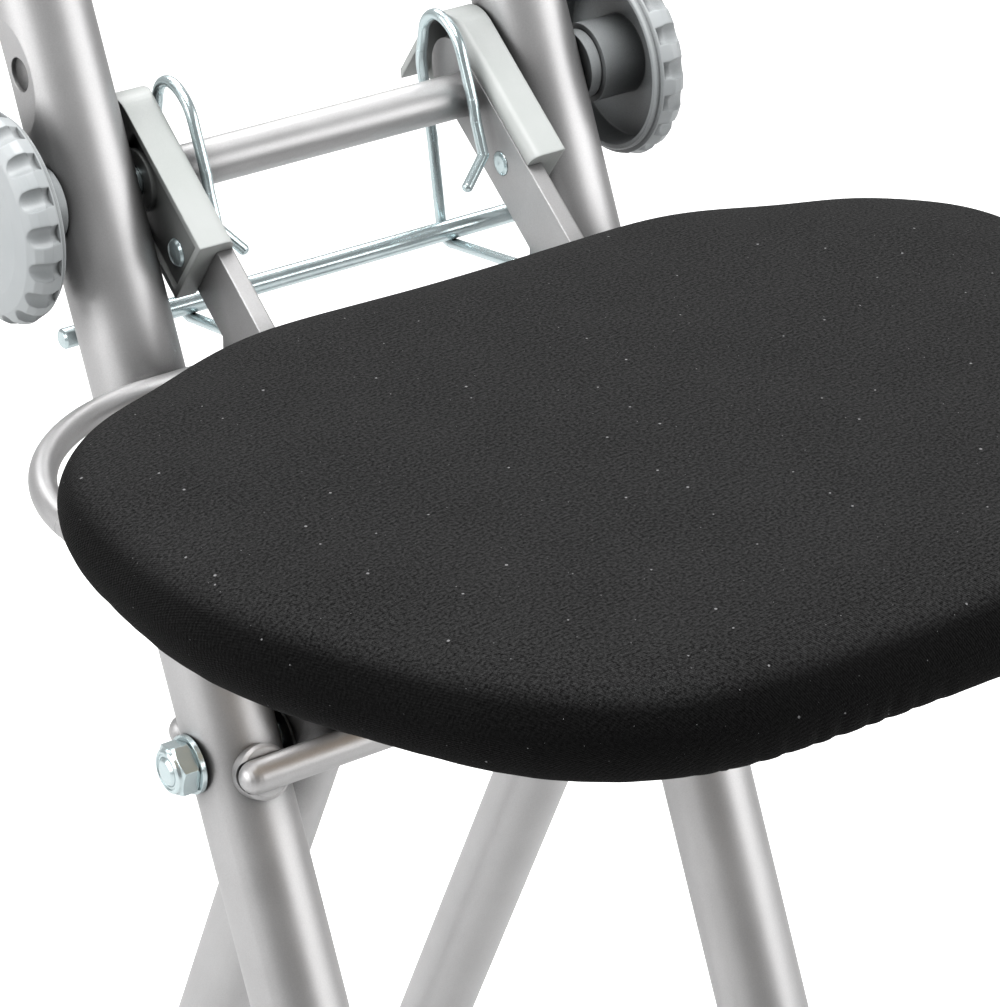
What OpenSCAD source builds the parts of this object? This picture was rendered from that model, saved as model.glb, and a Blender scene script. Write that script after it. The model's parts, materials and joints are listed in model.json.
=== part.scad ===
// Folding sit-stand chair on crossed tube legs: a two-post front frame with a backrest,
// a rear leg frame that folds on two pivot bolts, a padded seat that tips up on a crossbar
// held by two screw knobs, and a wire latch that hangs on that crossbar.
// Millimetres. The chair faces -Y, +Z is up and X = 0 is its plane of symmetry.

/* [Frame] */
// Height of the leg pivot above the floor
pivot_height = 430; // [410:1:450]
// Lean of the front posts from the vertical, in degrees
post_lean = 25; // [24:0.5:26]
// Lean of the rear legs from the vertical, in degrees
leg_lean = 24.5; // [23.5:0.5:25.5]
// Distance from the centre plane to each post axis
post_x = 69; // [69:0.5:72]
// Outside diameter of a post
post_d = 25; // [24.5:0.5:25]
// Outside diameter of a rear leg
leg_d = 21; // [20:0.5:21]
// Wall of the tubes
tube_wall = 1.2; // [1:0.1:1.5]
// Width of the front foot bar without its caps
front_foot_width = 396; // [380:2:420]
// Width of the rear foot bar without its caps
rear_foot_width = 310; // [290:2:316]

/* [Height adjustment] */
// Distance along the posts from the leg pivot to the crossbar axis
crossbar_up = 148; // [146:1:150]
// Spacing of the adjusting holes along a post
hole_pitch = 33; // [30:1:35]
// Number of adjusting holes in each post
hole_count = 5; // [3:1:6]
// Diameter of an adjusting hole
hole_d = 9; // [8.6:0.1:9.4]
// Diameter of the crossbar
crossbar_d = 12; // [11.5:0.5:12]
// Outside diameter of a knob
knob_d = 56; // [52:1:58]

/* [Seat] */
// Height of the seat loop rod above the leg pivot
loop_up = 94.2; // [93.8:0.2:95]
// Diameter of the seat loop rod
loop_d = 7; // [6.5:0.5:7.5]
// Thickness of the seat board
board_thickness = 9; // [8:0.5:10]
// Height of the seat cushion above its lower edge
cushion_height = 27; // [25:0.5:29]
// Thickness of an arm
arm_thickness = 4.6; // [4.4:0.2:5]
// Depth of an arm
arm_depth = 18; // [17:0.5:18]
// Slope of the arms, in degrees
arm_slope = 35.5; // [35:0.5:36]

/* [Backrest] */
// Distance along the posts from the leg pivot to the bend
bend_up = 452; // [448:1:460]
// Lean of the upper ends of the posts, in degrees
top_lean = 10; // [8:1:12]
// Length of the posts above the bend
top_length = 125; // [124:1:135]
// Thickness of the backrest cushion above its board edge
back_cushion_height = 24; // [22:0.5:26]

/* [Wire latch] */
// Diameter of the latch cross rod
latch_rod_d = 5.5; // [5:0.5:6]
// Diameter of the hook wire
wire_d = 3; // [2.9:0.1:3.2]

/* [Hidden] */
$fn = 96;
clear = 0.3;
bend_swell = 0.04;
bend_lap = 0.4;
post_r = post_d / 2;
leg_r = leg_d / 2;
crossbar_r = crossbar_d / 2;
loop_r = loop_d / 2;
latch_r = latch_rod_d / 2;
wire_r = wire_d / 2;

// Feet
front_cap_r = post_r + 2;
rear_cap_r = leg_r + 2;
pad_drop = 2;
front_axle = front_cap_r + pad_drop;
rear_axle = rear_cap_r + pad_drop;
front_foot_y = -(pivot_height - front_axle) * tan(post_lean);
rear_foot_y = (pivot_height - rear_axle) * tan(leg_lean);

// Leg pivot bolts
bolt_r = 4;
washer_face = post_x + post_r + 0.1;
nut_face = washer_face + 1.4;
nut_height = 6.3;
bolt_end = nut_face + nut_height + 0.5;
leg_x = post_x - post_r - 1 - leg_r;
leg_above_pivot = 34;

// Stop rods across the posts, where the opened rear legs bear on them
stop_d = 9;
stop_r = stop_d / 2;
open_angle = post_lean + leg_lean;
stop_off = post_r + stop_r + 0.05;
stop_along = (leg_r + stop_r + clear - stop_off * cos(open_angle)) / sin(open_angle);
stop_half = 77.5;
boss_r = 7.4;
boss_out = post_r + 3.2;

// The tube wall is pressed in round each adjusting hole by a wide round tool
dent_depth = 1.8;
dent_r = 60;
knob_washer_r = 9.5;
knob_face = post_x + post_r + 2.7;
knob_seat = post_x + post_r - dent_depth + dent_r - sqrt(pow(dent_r, 2) - pow(knob_washer_r, 2)) + 0.1;

// Crossbar axis, relative to the leg pivot
axis_y = crossbar_up * sin(post_lean);
axis_z = crossbar_up * cos(post_lean);

// Seat frame
post_inner = post_x - post_r;
arm_in = 45.2;
arm_out = arm_in + arm_thickness;
loop_off = post_r + loop_r + clear;
loop_y = (loop_up * tan(post_lean)) - loop_off / cos(post_lean);
loop_front_y = -148;
loop_side_x = 125;
board_bottom = loop_up + loop_r + 0.1;
tab_thickness = 2.6;
beam_top = board_bottom - tab_thickness - 0.05;
beam_bottom = beam_top - 15;
board_top = board_bottom + board_thickness;
arm_mid = -0.1;
arm_low = arm_mid - arm_depth / 2;
arm_high = arm_mid + arm_depth / 2;
arm_end = 8;
rivet_at = [-22.4, -1.1];
rivet_r = 2.5;

// Catches, placed along and across the arms
catch_in = arm_in + 0.2;
catch_out = post_inner - 0.6;
catch_front = -30.3;
catch_rear = 23.6;
catch_top = arm_high + 4;
catch_low = -10.6;
catch_tip = -24;
catch_round = 11;
catch_edge = 3;
catch_wall = 1.8;
catch_panel = catch_out - 1.4;

// Seat fixings
screw_r = 2.5;
tab_rows = [-26, -124];
tab_x = 34;

// Seat outline: half of it is wrapped round three circles, each [x, y, radius]
seat_circles = [[53.4, -140.2, 69.6], [85, -67, 58.4], [50, -92, 94.8]];
seat_rear_dip = 1.8;
board_inset = 9;
seat_middle = -98;
turns = 72;

// Backrest outline, drawn in its own plane
back_circles = [[92, 0, 50], [35, 2, 60]];
bend_y = bend_up * sin(post_lean);
bend_z = bend_up * cos(post_lean);
bend_radius = 150;
back_centre = top_length - 57;
back_rows = [-26, 26];
plug_flange = 1.6;

// Row frame: the origin is under the middle of the whole chair
seat_front = min([for (p = outline(seat_circles, 0, seat_middle, seat_rear_dip)) p[1]]);
back_limit = bend_y + top_length * sin(top_lean) + post_r * cos(top_lean);
pivot_y = -(seat_front + back_limit) / 2;

// Latch position, relative to the leg pivot along and off the posts
latch_along = 113;
latch_off = post_r + latch_r + 0.35;
latch_dy = latch_along * sin(post_lean) + latch_off * cos(post_lean) - axis_y;
latch_dz = latch_along * cos(post_lean) - latch_off * sin(post_lean) - axis_z;
latch_half = 80;
hook_x = arm_in - wire_r - 2.6;
wire_slope = -10.4;
wire_run = [cos(wire_slope), sin(wire_slope)];
wire_under = [latch_dy, latch_dz] + (latch_r + wire_r + 0.04) * [sin(wire_slope), -cos(wire_slope)];

// Colours
silver = [0.78, 0.78, 0.79];
zinc = [0.72, 0.77, 0.78];
knob_grey = [0.74, 0.76, 0.77];
catch_grey = [0.8, 0.82, 0.81];
black = [0.06, 0.06, 0.06];
fabric = [0.03, 0.03, 0.03];
wood = [0.7, 0.58, 0.42];

// Placing helpers
module at_pivot() {
    translate([0, pivot_y, pivot_height]) children();
}

module on_post() {
    at_pivot() rotate([-post_lean, 0, 0]) children();
}

module on_leg() {
    at_pivot() rotate([leg_lean, 0, 0]) children();
}

module at_axis() {
    at_pivot() translate([0, axis_y, axis_z]) children();
}

module arm_frame() {
    at_axis() rotate([arm_slope, 0, 0]) children();
}

module on_back() {
    at_pivot() translate([0, bend_y, bend_z]) rotate([-top_lean, 0, 0])
        translate([0, 0, back_centre]) children();
}

// A drawing in the side view, x forward along Y and y along Z, from one X to another
module side_plate(from_x, to_x) {
    translate([from_x, 0, 0]) rotate([90, 0, 90]) linear_extrude(height = to_x - from_x) children();
}

// A round bar along X
module bar_x(from_x, to_x, r) {
    translate([from_x, 0, 0]) rotate([0, 90, 0]) cylinder(r = r, h = to_x - from_x);
}

// A turned piece along X: its outline is drawn as [radius, x]
module turned_x(outline) {
    rotate([0, 90, 0]) rotate_extrude() polygon(outline);
}

// A round end for a turned piece: [radius, x] from the rim at its shoulder to the tip at x = end
function dome(r, end) = [for (a = [90 : -15 : 0]) [r * sin(a), end - r * (1 - cos(a))]];

module mirrored() {
    children();
    mirror([1, 0, 0]) children();
}

// Bent round bar in a plane
function unit(v) = v / norm(v);
function bend_of(a, b, c) = acos(max(-1, min(1, unit(b - a) * unit(c - b))));
function set_back(a, b, c, r) = r * tan(bend_of(a, b, c) / 2);
function turn_side(a, b, c) = sign((b - a)[0] * (c - b)[1] - (b - a)[1] * (c - b)[0]);
function left_of(v) = [-v[1], v[0]];

module bar_between(a, b, r) {
    d = b - a;
    translate([a[0], a[1], 0]) rotate([0, 0, atan2(d[1], d[0])]) rotate([0, 90, 0])
        cylinder(r = r, h = norm(d));
}

module bar_bend(a, b, c, bend_r, r) {
    s = set_back(a, b, c, bend_r);
    side = turn_side(a, b, c);
    start = b - s * unit(b - a);
    centre = start + side * bend_r * left_of(unit(b - a));
    from = start - centre;
    angle = bend_of(a, b, c);
    first = atan2(from[1], from[0]);
    translate([centre[0], centre[1], 0]) rotate([0, 0, side > 0 ? first : first - angle])
        rotate_extrude(angle = angle) translate([bend_r, 0]) circle(r = r + bend_swell);
}

module bent_bar(points, radii, r, closed = false) {
    n = len(points);
    inner = closed ? [0 : n - 1] : [1 : n - 2];
    spans = closed ? [0 : n - 1] : [0 : n - 2];
    for (i = inner) {
        bar_bend(points[(i + n - 1) % n], points[i], points[(i + 1) % n], radii[i], r);
    }
    for (i = spans) {
        j = (i + 1) % n;
        a = points[i];
        b = points[j];
        before = points[(i + n - 1) % n];
        after = points[(j + 1) % n];
        cut_a = (closed || i > 0) ? set_back(before, a, b, radii[i]) - bend_lap : 0;
        cut_b = (closed || j < n - 1) ? set_back(a, b, after, radii[j]) - bend_lap : 0;
        bar_between(a + cut_a * unit(b - a), b - cut_b * unit(b - a), r);
    }
}

// Posts
cope = 4;
post_line = [
    [front_foot_y + cope * sin(post_lean), front_axle - pivot_height + cope * cos(post_lean)],
    [bend_y, bend_z],
    [bend_y + top_length * sin(top_lean), bend_z + top_length * cos(top_lean)]
];

module post_solid(r, extra) {
    down = unit(post_line[0] - post_line[1]);
    up = unit(post_line[2] - post_line[1]);
    ends = [post_line[0] + extra * down, post_line[1], post_line[2] + extra * up];
    at_pivot() translate([post_x, 0, 0]) rotate([90, 0, 90]) bent_bar(ends, [0, bend_radius, 0], r);
}

module hole_dents(grow) {
    for (i = [0 : hole_count - 1]) {
        on_post() translate([post_x + post_r - dent_depth + dent_r, 20, crossbar_up + i * hole_pitch])
            rotate([90, 0, 0]) cylinder(r = dent_r + grow, h = 40);
    }
}

module post_right() {
    color(silver) difference() {
        post_solid(post_r, 0);
        difference() {
            post_solid(post_r - tube_wall, 1);
            hole_dents(tube_wall + 0.1);
        }
        hole_dents(0);
        for (i = [0 : hole_count - 1]) {
            on_post() translate([0, 0, crossbar_up + i * hole_pitch])
                bar_x(post_inner - 2, post_x + post_r + 2, hole_d / 2);
        }
        at_pivot() bar_x(post_inner - 2, post_x + post_r + 2, bolt_r + 0.1);
        on_back() for (z = back_rows) {
            translate([post_x, post_r + 2, z]) rotate([90, 0, 0]) cylinder(r = 3.1, h = post_d + 4);
        }
        front_foot_space();
    }
}

module post_left() {
    mirror([1, 0, 0]) post_right();
}

// Foot bars and their caps
module foot_place(y, axle) {
    translate([0, pivot_y + y, axle]) children();
}

module front_foot_space() {
    foot_place(front_foot_y, front_axle) bar_x(0, 120, post_r + 0.05);
}

module foot_tube(half, r) {
    difference() {
        bar_x(-half, half, r);
        bar_x(-half - 1, half + 1, r - tube_wall);
    }
}

module foot_cap(half, r, cap_r, axle) {
    depth = 30;
    end = half + 3;
    inside = end - 3;
    difference() {
        union() {
            turned_x([
                [0, half - depth], [cap_r, half - depth], [cap_r, end - 2],
                [cap_r - 2, end], [0, end]
            ]);
            translate([half - depth + 4, -8, -axle]) cube([depth - 8, 16, axle]);
        }
        bar_x(half - depth - 1, inside, r + 0.05);
    }
}

module front_foot_bar() {
    color(silver) foot_place(front_foot_y, front_axle) foot_tube(front_foot_width / 2, post_r);
}

module front_foot_caps() {
    color(black) foot_place(front_foot_y, front_axle)
        mirrored() foot_cap(front_foot_width / 2, post_r, front_cap_r, front_axle);
}

module rear_foot_bar() {
    color(silver) foot_place(rear_foot_y, rear_axle) foot_tube(rear_foot_width / 2, leg_r);
}

module rear_foot_caps() {
    color(black) foot_place(rear_foot_y, rear_axle)
        mirrored() foot_cap(rear_foot_width / 2, leg_r, rear_cap_r, rear_axle);
}

// Stop rods: one in front of the posts below the pivot, one behind them above it
module stop_rod() {
    end = dome(stop_r, stop_half);
    last = len(end) - 1;
    turned_x(concat([for (i = [last : -1 : 0]) [end[i][0], -end[i][1]]], end));
}

module front_stop_rod() {
    color(silver) on_post() translate([0, -stop_off, -stop_along]) stop_rod();
}

module rear_stop_rod() {
    color(silver) on_post() translate([0, stop_off, stop_along]) stop_rod();
}

// Weld bosses between a stop rod and the posts
module stop_rod_boss(side) {
    difference() {
        translate([post_x, 0, -side * stop_along]) rotate([side * 90, 0, 0]) rotate_extrude()
            polygon([[0, 0], [boss_r, 0], [boss_r, boss_out - 0.9], [boss_r - 0.9, boss_out], [0, boss_out]]);
        translate([post_x, 0, -40]) cylinder(r = post_r + 0.05, h = 80);
        translate([0, -side * stop_off, -side * stop_along]) bar_x(0, 2 * post_x, stop_r + 0.05);
    }
}

module stop_rod_bosses() {
    color(silver) on_post() mirrored() {
        stop_rod_boss(1);
        stop_rod_boss(-1);
    }
}

// Rear legs
module leg_tube(r, extra) {
    reach = (pivot_height - rear_axle) / cos(leg_lean) - cope;
    on_leg() translate([leg_x, 0, -reach - extra])
        cylinder(r = r, h = reach + leg_above_pivot + 2 * extra);
}

module rear_leg_right() {
    color(silver) difference() {
        leg_tube(leg_r, 0);
        leg_tube(leg_r - tube_wall, 1);
        at_pivot() bar_x(leg_x - leg_r - 1, leg_x + leg_r + 1, 6.05);
        foot_place(rear_foot_y, rear_axle) bar_x(0, 120, leg_r + 0.05);
    }
}

module rear_leg_left() {
    mirror([1, 0, 0]) rear_leg_right();
}

module tube_plug(r, wall, flange) {
    translate([0, 0, -12]) cylinder(r = r - wall - 0.05, h = 12);
    cylinder(r1 = r, r2 = r - 0.6, h = flange);
}

module rear_leg_plugs() {
    color(black) mirrored() on_leg() translate([leg_x, 0, leg_above_pivot])
        tube_plug(leg_r, tube_wall, 2);
}

module post_plugs() {
    color(black) mirrored() on_back() translate([post_x, 0, top_length - back_centre])
        tube_plug(post_r, tube_wall, plug_flange);
}

// Pivot hardware
module pivot_bolts() {
    head = leg_x - leg_r - clear;
    color(zinc) mirrored() at_pivot() {
        turned_x([
            [0, head - 1], [bolt_r, head - 1], [bolt_r, bolt_end - 0.9], [bolt_r - 0.9, bolt_end - 0.2],
            [bolt_r - 2.4, bolt_end], [0, bolt_end]
        ]);
        translate([head - 5.3, 0, 0]) rotate([0, 90, 0]) cylinder(r = 7.5, h = 5.3, $fn = 6);
    }
}

// Lock nuts: six flats, rounded corners and a collar round the bolt's end
module pivot_nuts() {
    end = nut_face + nut_height;
    color(zinc) mirrored() at_pivot() difference() {
        intersection() {
            translate([nut_face, 0, 0]) rotate([0, 90, 0]) rotate([0, 0, 12])
                cylinder(r = 7.5, h = nut_height, $fn = 6);
            turned_x([
                [0, nut_face - 1], [6.8, nut_face - 1], [6.8, nut_face], [7.6, nut_face + 0.7],
                [7.6, end - 2.1], [6.3, end - 1.3], [6, end - 0.5], [5.4, end - 0.1],
                [4.9, end - 0.1], [4.7, end - 0.4], [0, end - 0.4]
            ]);
        }
        bar_x(nut_face - 1, end + 1, bolt_r + 0.05);
    }
}

module pivot_washers() {
    color(zinc) mirrored() at_pivot() difference() {
        bar_x(washer_face, nut_face - 0.05, 8);
        bar_x(washer_face - 1, nut_face + 1, bolt_r + 0.1);
    }
}

module pivot_spacers() {
    from_x = leg_x + leg_r + clear;
    color(black) mirrored() at_pivot() difference() {
        bar_x(from_x, post_inner - 0.1, 9);
        bar_x(from_x - 1, post_inner + 1, bolt_r + 0.1);
    }
}

module pivot_bushes() {
    color(black) mirrored() at_pivot() difference() {
        bar_x(leg_x - leg_r, leg_x + leg_r, 6);
        bar_x(leg_x - leg_r - 1, leg_x + leg_r + 1, bolt_r + 0.05);
    }
}

// Knob hardware that stays on the posts
module knob_washers() {
    color(knob_grey) mirrored() at_axis() difference() {
        bar_x(knob_seat, knob_face - clear, knob_washer_r);
        bar_x(knob_seat - 1, knob_face + 1, 4.3);
    }
}

// Crossbar and arms
module crossbar() {
    color(silver) at_axis() difference() {
        bar_x(-arm_in, arm_in, crossbar_r);
        mirrored() bar_x(arm_in - 21, arm_in + 1, 4.05);
    }
}

module arm_outline() {
    corner_y = loop_y - 20.6;
    corner_z = axis_z + (arm_high - (axis_y - corner_y) * sin(arm_slope)) / cos(arm_slope);
    back_y = loop_y + 5.4;
    back_z = axis_z + (arm_low - (axis_y - back_y) * sin(arm_slope)) / cos(arm_slope);
    front = loop_front_y + loop_r + 0.05;
    translate([axis_y, axis_z]) rotate(arm_slope) {
        translate([arm_end, arm_mid]) circle(r = arm_depth / 2);
        translate([-30, arm_low]) square([30 + arm_end, arm_depth]);
    }
    polygon([
        [corner_y, corner_z], [corner_y, beam_top], [front, beam_top], [front, beam_bottom + 4],
        [front + 4, beam_bottom], [loop_y + 0.6, beam_bottom], [back_y, beam_bottom + 5],
        [back_y, back_z],
        [axis_y - 24 * cos(arm_slope) - arm_low * sin(arm_slope),
         axis_z - 24 * sin(arm_slope) + arm_low * cos(arm_slope)],
        [axis_y - 24 * cos(arm_slope) - arm_high * sin(arm_slope),
         axis_z - 24 * sin(arm_slope) + arm_high * cos(arm_slope)]
    ]);
}

module arm_right() {
    color(silver) at_pivot() difference() {
        side_plate(arm_in, arm_out) arm_outline();
        translate([0, axis_y, axis_z]) bar_x(arm_in - 1, arm_out + 1, 4.1);
        translate([0, loop_y, loop_up]) bar_x(arm_in - 1, arm_out + 1, loop_r + 0.05);
        translate([arm_in - 1, loop_y - loop_r - 0.05, beam_bottom - 1])
            cube([arm_thickness + 2, loop_d + 0.1, loop_up - beam_bottom + 1]);
        translate([0, axis_y, axis_z]) rotate([arm_slope, 0, 0])
            translate([0, rivet_at[0], rivet_at[1]]) bar_x(arm_in - 1, arm_out + 1, rivet_r + 0.05);
    }
}

module arm_left() {
    mirror([1, 0, 0]) arm_right();
}

// Plastic catches over the upper ends of the arms, drawn along and across the arm
catch_bend = [catch_rear - catch_round, catch_top - catch_round];
function quarter(centre, r) = [for (a = [90 : -7.5 : 0]) centre + r * [cos(a), sin(a)]];

module catch_outline() {
    polygon(concat(
        [[catch_front, catch_low], [catch_front, catch_top]],
        quarter(catch_bend, catch_round),
        [[catch_rear, catch_tip + 2.6], [catch_rear - 2.6, catch_tip], [catch_rear - 5, catch_tip + 0.8],
         [arm_end, catch_low]]
    ));
}

// The room inside a catch behind the arm's round end
module catch_hollow() {
    start = arm_end + 1;
    polygon(concat(
        [[start, catch_tip - 6], [start, catch_top - catch_wall]],
        quarter(catch_bend, catch_round - catch_wall),
        [[catch_rear - catch_wall, catch_tip - 6]]
    ));
}

module catch_right() {
    depth = catch_top - catch_tip + 10;
    color(catch_grey) arm_frame() difference() {
        intersection() {
            side_plate(catch_in, catch_out) catch_outline();
            translate([0, -40, 0]) rotate([-90, 0, 0]) linear_extrude(height = 80) {
                translate([catch_in + catch_edge, -catch_top])
                    square([catch_out - catch_in, depth]);
                translate([catch_in - 1, catch_edge - catch_top]) square([catch_edge + 2, depth]);
                translate([catch_in + catch_edge, catch_edge - catch_top]) circle(r = catch_edge);
            }
        }
        side_plate(catch_in - 1, arm_out + 0.05) translate([catch_front - 1, arm_low - 6])
            square([arm_end + 1.05 - catch_front + 1, arm_depth + 6.05]);
        side_plate(catch_in - 1, catch_out - 2.2) catch_hollow();
        difference() {
            side_plate(catch_panel, catch_out + 1)
                translate([catch_front + catch_wall, catch_low + catch_wall])
                    square([7.6 - catch_front - catch_wall, catch_top - catch_low - 2 * catch_wall]);
            bar_x(0, 80, 8.5);
        }
        bar_x(arm_in, catch_out + 1, 4 + clear);
        translate([0, rivet_at[0], rivet_at[1]]) bar_x(arm_in, catch_out + 1, rivet_r + 0.05);
    }
}

module catch_left() {
    mirror([1, 0, 0]) catch_right();
}

module catch_rivets() {
    color(zinc) mirrored() arm_frame() translate([0, rivet_at[0], rivet_at[1]]) turned_x([
        [0, arm_in - 0.6], [2.2, arm_in - 0.5], [3.4, arm_in - 0.05], [rivet_r, arm_in - 0.05],
        [rivet_r, catch_panel + 0.05], [3.9, catch_panel + 0.05], [3.2, catch_panel + 0.8],
        [1.6, catch_panel + 1.2], [0, catch_panel + 1.3]
    ]);
}

// Seat loop, tabs and screws
module seat_loop() {
    points = [
        [loop_side_x, loop_y], [loop_side_x, loop_front_y],
        [-loop_side_x, loop_front_y], [-loop_side_x, loop_y]
    ];
    color(silver) at_pivot() translate([0, 0, loop_up])
        bent_bar(points, [49, 55, 55, 49], loop_r, true);
}

module seat_tabs() {
    color(silver) mirrored() at_pivot() for (y = tab_rows) {
        difference() {
            translate([tab_x - 9, y - 12, beam_top]) cube([arm_out - tab_x + 9, 24, tab_thickness]);
            translate([tab_x, y, beam_top - 1]) cylinder(r = screw_r + 0.2, h = tab_thickness + 2);
        }
    }
}

module seat_screws() {
    color(zinc) mirrored() at_pivot() for (y = tab_rows) {
        translate([tab_x, y, beam_top - 3]) {
            cylinder(r1 = 3.4, r2 = 4.6, h = 2.95);
            cylinder(r = screw_r, h = 3 + tab_thickness + board_thickness - 2);
        }
    }
}

// Outlines wrapped round circles: the farthest circle in each direction gives the point
function reach_of(c, u) = c[0] * u[0] + c[1] * u[1] + c[2];
function pick(circles, u, i, best) =
    i >= len(circles) ? best
    : pick(circles, u, i + 1, reach_of(circles[i], u) > reach_of(circles[best], u) ? i : best);
function wrap_point(circles, a, inset) =
    let (
        s = cos(a) < 0 ? -1 : 1,
        u = [abs(cos(a)), sin(a)],
        c = circles[pick(circles, u, 0, 0)]
    )
    [s * (c[0] + (c[2] - inset) * u[0]), c[1] + (c[2] - inset) * u[1]];
function dip_at(x, y, middle, dip) = y > middle ? -dip * exp(-pow(x / 30, 2)) : 0;
function outline_point(circles, a, inset, middle, dip) =
    let (p = wrap_point(circles, a, inset))
    [p[0], p[1] + dip_at(p[0], p[1], middle, dip)];

// The corners of an outline
function outline(circles, inset, middle, dip) =
    [for (i = [0 : turns - 1]) outline_point(circles, (i + 0.5) * 360 / turns, inset, middle, dip)];

// A cushion: rings of the outline, each [inset, height], from its pocket to its crown
module cushion_shape(circles, rings, middle, dip, crown) {
    n = turns;
    k = len(rings);
    points = concat(
        [for (r = rings) for (p = outline(circles, r[0], middle, dip)) [p[0], p[1], r[1]]],
        [[0, middle, rings[0][1]], [0, middle, crown]]
    );
    low = n * k;
    walls = [for (j = [0 : k - 2]) for (i = [0 : n - 1])
        [j * n + i, (j + 1) * n + i, (j + 1) * n + (i + 1) % n, j * n + (i + 1) % n]];
    floor_fan = [for (i = [0 : n - 1]) [low, i, (i + 1) % n]];
    crown_fan = [for (i = [0 : n - 1]) [low + 1, (k - 1) * n + (i + 1) % n, (k - 1) * n + i]];
    polyhedron(points = points, faces = concat(walls, floor_fan, crown_fan), convexity = 4);
}

function cushion_rings(h, pocket) = [
    [board_inset, pocket], [board_inset, 0], [4.9, 0.033 * h], [2.3, 0.13 * h], [0.6, 0.27 * h],
    [0, 0.435 * h], [1, 0.6 * h], [3.8, 0.73 * h], [7.9, 0.82 * h], [15, 0.885 * h],
    [25, 0.93 * h], [36, 0.955 * h], [46, 0.975 * h]
];

module seat_board() {
    color(wood) at_pivot() translate([0, 0, board_bottom]) difference() {
        linear_extrude(height = board_thickness)
            polygon(outline(seat_circles, board_inset + 0.1, seat_middle, seat_rear_dip));
        mirrored() for (y = tab_rows) {
            translate([tab_x, y, -1]) cylinder(r = screw_r + 0.05, h = board_thickness);
        }
    }
}

module seat_cushion() {
    color(fabric) at_pivot() translate([0, 0, board_bottom]) cushion_shape(
        seat_circles, cushion_rings(cushion_height, board_thickness + 0.05),
        seat_middle, seat_rear_dip, cushion_height
    );
}

// Backrest: the board lies against the fronts of the posts
module back_plane() {
    on_back() translate([0, -post_r - 0.1, 0]) rotate([90, 0, 0]) children();
}

module backrest_board() {
    color(wood) back_plane() difference() {
        linear_extrude(height = board_thickness)
            polygon(outline(back_circles, board_inset + 0.1, 0, 0));
        mirrored() for (y = back_rows) {
            translate([post_x, y, -1]) cylinder(r = 3.05, h = board_thickness);
        }
    }
}

module backrest_cushion() {
    color(fabric) back_plane() cushion_shape(
        back_circles, cushion_rings(back_cushion_height, board_thickness + 0.05), 0, 0,
        back_cushion_height
    );
}

module backrest_screws() {
    color(zinc) mirrored() on_back() for (z = back_rows) {
        translate([post_x, post_r, z]) rotate([90, 0, 0]) {
            translate([0, 0, -1]) cylinder(r = 3, h = post_d + board_thickness - 1);
            translate([0, 0, -2.95]) cylinder(r1 = 3.6, r2 = 5.4, h = 2.9);
        }
    }
}

// Knobs: a hollow cup on a stem, with a smooth lip and a scooped band, widest at its parting line
module knob_body() {
    r = knob_d / 2;
    cup = knob_face + 5.8;
    lip = cup + 1.7;
    parting = cup + 5;
    front = cup + 13;
    scoops = 18;
    scoop_r = 3;
    difference() {
        turned_x([
            [0, knob_face], [11, knob_face], [11, cup + 7.4], [r - 4.6, cup + 7.4], [r - 3.8, cup],
            [r - 2.7, cup], [r - 2.2, cup + 0.5], [r - 2.2, lip - 0.2], [r - 1.1, lip],
            [r, parting], [r - 0.5, cup + 7.2], [r - 1.8, cup + 9], [r - 4.2, cup + 10.2],
            [r - 9, cup + 10.9], [0, cup + 11.2]
        ]);
        for (i = [0 : scoops - 1]) {
            rotate([90 + i * 360 / scoops, 0, 0]) {
                bar_between([lip, r + scoop_r - 2.3], [parting + 0.4, r + scoop_r - 1.2], scoop_r, $fn = 48);
                bar_between([parting, r + scoop_r - 1.8], [front, r + scoop_r - 4.5], scoop_r, $fn = 48);
            }
        }
        bar_x(knob_face - 1, cup + 5, 4.05);
    }
}

module knob_right() {
    color(knob_grey) at_axis() knob_body();
}

module knob_left() {
    color(knob_grey) at_axis() mirror([1, 0, 0]) knob_body();
}

module knob_screw_right() {
    color(zinc) at_axis() bar_x(arm_in - 18, knob_face + 10.3, 4);
}

module knob_screw_left() {
    color(zinc) mirror([1, 0, 0]) knob_screw_right();
}

// Wire latch
module latch_rod() {
    edge = 0.6;
    color(zinc) at_axis() translate([0, latch_dy, latch_dz]) turned_x([
        [0, -latch_half], [latch_r - edge, -latch_half], [latch_r, edge - latch_half],
        [latch_r, latch_half - edge], [latch_r - edge, latch_half], [0, latch_half]
    ]);
}

module latch_hook_right() {
    path = [
        wire_under - 28.9 * wire_run, wire_under + 6.1 * wire_run, [9.4, -14.7], [14.8, 6],
        [11.6, 22.8], [-2.5, 20.3], [-10.6, 2], [-12, -3], [-15.4, -11.2]
    ];
    bends = [0, 4.6, 20, 14, 7.6, 12, 14, 4, 0];
    tail = [[hook_x, -15.4, -11.2], [hook_x - 6.3, -17.2, -18.2]];
    across = tail[1] - tail[0];
    color(zinc) at_axis() {
        translate([hook_x, 0, 0]) rotate([90, 0, 90]) bent_bar(path, bends, wire_r);
        for (end = [tail[0], tail[1], [hook_x, path[0][0], path[0][1]]]) {
            translate(end) sphere(r = wire_r + bend_swell);
        }
        translate(tail[0]) rotate([0, 0, atan2(across[1], across[0])])
            rotate([0, acos(across[2] / norm(across)), 0]) cylinder(r = wire_r, h = norm(across));
    }
}

module latch_hook_left() {
    mirror([1, 0, 0]) latch_hook_right();
}

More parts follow.
